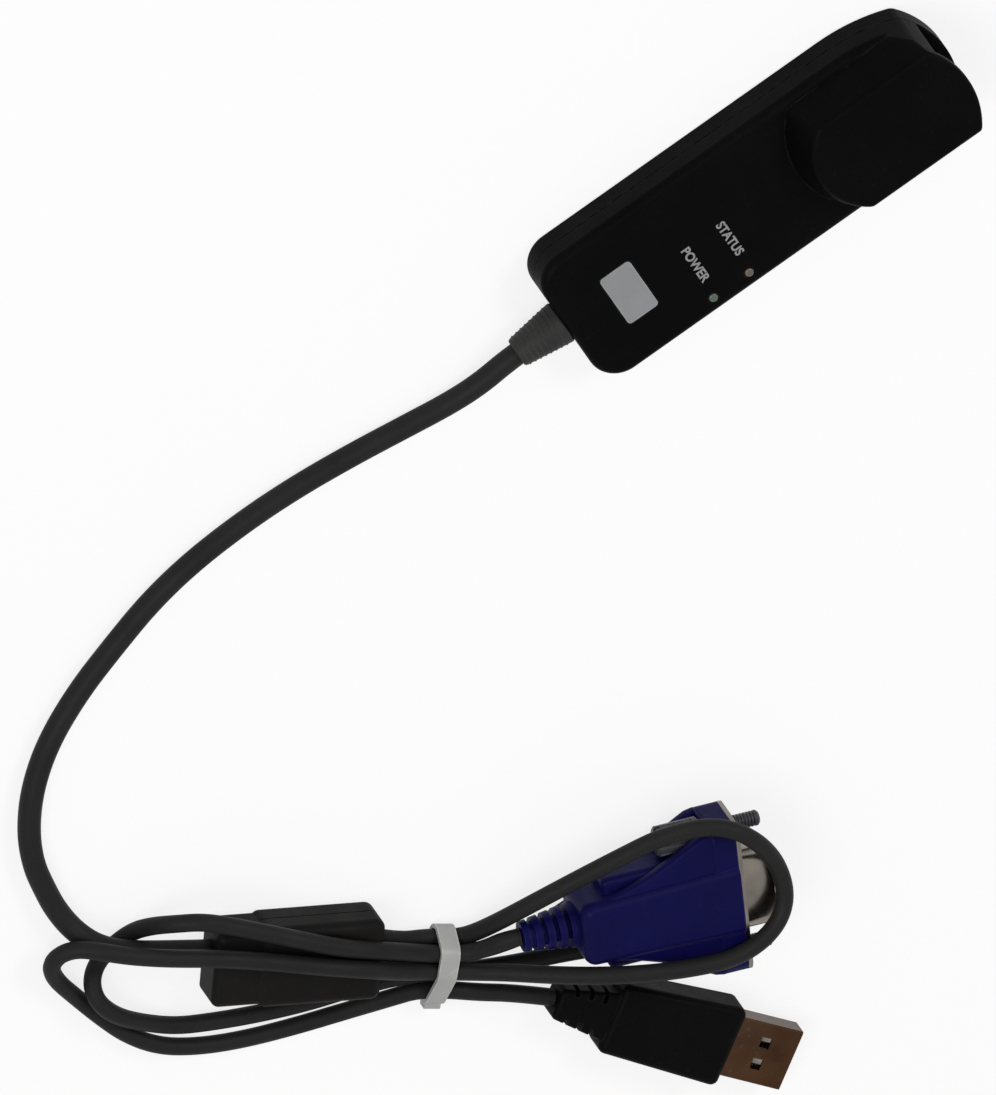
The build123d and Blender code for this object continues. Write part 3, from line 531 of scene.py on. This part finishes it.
MAIN_ROUTE = [
    (-43.0, 0.0, 5.0), (-53.5, 0.0, 5.0), (-61.0, -1.6, 3.8), (-68.0, -1.9, 2.7),
    (-77.1, -0.8, 2.2), (-87.7, 0.8, 2.2), (-98.6, 2.0, 2.2), (-109.6, 2.4, 2.2),
    (-121.7, 1.8, 2.2), (-132.3, -0.1, 2.2), (-142.6, -3.5, 2.2), (-152.2, -7.0, 2.2),
    (-161.8, -12.1, 2.2), (-168.9, -18.2, 2.2), (-173.9, -25.0, 2.2), (-176.7, -31.6, 2.2),
    (-177.6, -37.4, 2.2), (-178.1, -42.5, 2.3), (-177.6, -47.7, 3.4), (-175.8, -51.8, 5.5),
    (-172.3, -55.8, 6.2), (-166.4, -61.1, 5.7), (-159.8, -66.8, 5.0),
]
USB_ROUTE = [
    (-133.7, -85.4, 4.6), (-130.7, -89.7, 3.4), (-126.3, -93.0, 2.6), (-121.7, -96.9, 2.6),
    (-118.2, -96.8, 4.8), (-113.4, -95.4, 8.4), (-108.2, -94.5, 11.0), (-102.1, -94.1, 13.0),
    (-95.2, -94.0, 14.8), (-88.6, -94.2, 16.2), (-82.6, -94.9, 16.8), (-77.9, -96.5, 17.0),
    (-73.5, -98.6, 17.5), (-69.8, -101.9, 18.4), (-67.5, -107.6, 18.1), (-67.0, -114.0, 17.4),
    (-68.8, -120.1, 17.4), (-72.5, -123.7, 18.0), (-78.0, -124.8, 18.8), (-84.0, -123.8, 19.0),
    (-89.5, -121.1, 19.0), (-96.2, -117.2, 18.7), (-103.6, -112.6, 17.4), (-111.4, -109.0, 12.6),
    (-118.4, -105.3, 8.0), (-123.6, -102.2, 5.8), (-129.7, -97.0, 5.7), (-133.9, -91.8, 8.6),
    (-138.7, -85.1, 11.9), (-145.1, -78.9, 11.9), (-152.0, -71.8, 11.9), (-159.7, -64.5, 11.9),
    (-166.4, -59.5, 11.0), (-172.0, -54.7, 10.2), (-175.9, -50.7, 9.4), (-179.0, -48.3, 7.9),
    (-182.3, -48.1, 6.3), (-184.9, -50.1, 4.8), (-185.4, -54.3, 3.2), (-184.3, -60.0, 2.0),
    (-182.8, -66.4, 1.8), (-180.8, -73.1, 1.8), (-177.2, -79.3, 1.8), (-171.8, -84.0, 1.8),
    (-164.5, -88.4, 1.8), (-155.3, -92.6, 1.8), (-146.0, -96.3, 1.8), (-138.0, -99.3, 2.2),
    (-133.1, -101.0, 2.6), (-128.5, -104.9, 2.6), (-124.5, -108.7, 2.9), (-119.1, -113.0, 3.6),
    (-114.0, -118.2, 4.0),
]
VIDEO_ROUTE = [
    (-136.0, -88.6, 4.6), (-133.5, -92.2, 3.2), (-128.6, -95.7, 2.6), (-124.0, -99.5, 2.6),
    (-118.9, -102.7, 2.0), (-111.4, -105.4, 1.7), (-102.8, -105.9, 1.7), (-93.8, -105.6, 1.7),
    (-85.6, -107.0, 1.7), (-80.0, -111.6, 1.7), (-79.7, -118.6, 1.7), (-84.9, -122.8, 1.7),
    (-92.6, -121.9, 1.7), (-100.0, -117.7, 1.7), (-107.8, -113.2, 1.7), (-114.5, -109.8, 1.7),
    (-120.8, -106.0, 2.0), (-126.2, -102.2, 2.6), (-130.8, -98.4, 2.6), (-135.1, -96.4, 2.0),
    (-143.0, -93.0, 1.8), (-151.1, -89.9, 1.8), (-159.3, -85.9, 1.8), (-166.9, -81.6, 1.8),
    (-172.6, -77.9, 1.8), (-177.1, -72.3, 3.2), (-180.4, -66.5, 5.2), (-181.6, -61.5, 5.6),
    (-180.5, -58.5, 4.0), (-177.8, -57.0, 2.1), (-173.6, -56.1, 1.7), (-169.1, -55.4, 2.6),
    (-165.6, -54.6, 6.2), (-162.0, -54.8, 9.8), (-157.2, -56.9, 11.9), (-151.6, -63.7, 11.9),
    (-145.3, -71.7, 11.9), (-139.6, -78.8, 11.9), (-132.9, -86.5, 9.6), (-127.5, -94.3, 5.7),
    (-122.9, -98.2, 5.7), (-118.9, -99.0, 7.6), (-115.2, -98.3, 9.9), (-112.4, -99.4, 10.5),
]


def lay_cable(name, route, diameter, node):
    """A round cable on a smooth line through the same points as its CAD solid."""
    curve = bpy.data.curves.new(name, "CURVE")
    curve.dimensions = "3D"
    curve.bevel_depth = diameter / 2 * MM
    curve.bevel_resolution = 5
    curve.resolution_u = 10
    curve.use_fill_caps = True
    spline = curve.splines.new("NURBS")
    spline.points.add(len(route) - 1)
    for point, place in zip(spline.points, route):
        point.co = (*(Vector(place) * MM), 1)
    spline.order_u = 3
    spline.use_endpoint_u = True
    curve.materials.append(jacket)
    cable = bpy.data.objects.new(name, curve)
    collection.objects.link(cable)
    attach(cable, "dongle")
    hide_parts(node)
    return cable


MAIN_DIAMETER = 4.3
BRANCH_DIAMETER = 3.3
main_cable = lay_cable("main_cable_line", MAIN_ROUTE, MAIN_DIAMETER, "main_cable")
usb_cable = lay_cable("usb_cable_line", USB_ROUTE, BRANCH_DIAMETER, "usb_cable")
video_cable = lay_cable("video_cable_line", VIDEO_ROUTE, BRANCH_DIAMETER, "video_cable")

# Junction block
# A grey PVC block moulded over the joint of the three cables.
block_grey = moulded("block grey", (0.0045, 0.004, 0.0039), (0.008, 0.0072, 0.0068), 0.5, 0.3, 0.02, 0.06)
finish_nodes(block_grey, "junction_block")

# Bundle tie
# A pale nylon band pulled round the folded strands.
tie_grey = moulded("tie grey", (0.3, 0.3, 0.3), (0.42, 0.42, 0.41), 0.4, 0.5, 0.02, 0.25)
finish_nodes(tie_grey, "bundle_tie")

# USB plug
# A black PVC grip over a stamped shell, with a white tongue inside.
GRIP_MIDDLE = 4.0
GRIP_BLACK = (0.0012, 0.0012, 0.0013)
GRIP_WORN = (0.0026, 0.0026, 0.0028)
grip_black = moulded("grip black", GRIP_BLACK, GRIP_WORN, 0.44, 0.3, 0.02, 0.03, 0.9, 0.006, GRIP_MIDDLE)
finish_nodes(grip_black, "usb_plug_grip")
usb_steel = metal("usb steel", (0.085, 0.042, 0.02), (0.022, 0.01, 0.005), 0.24)
finish_nodes(usb_steel, "usb_plug_shell")
tongue_white = moulded("tongue white", (0.6, 0.6, 0.58), (0.5, 0.5, 0.48), 0.4, 0.5, 0.01)
finish_nodes(tongue_white, "usb_plug_tongue")
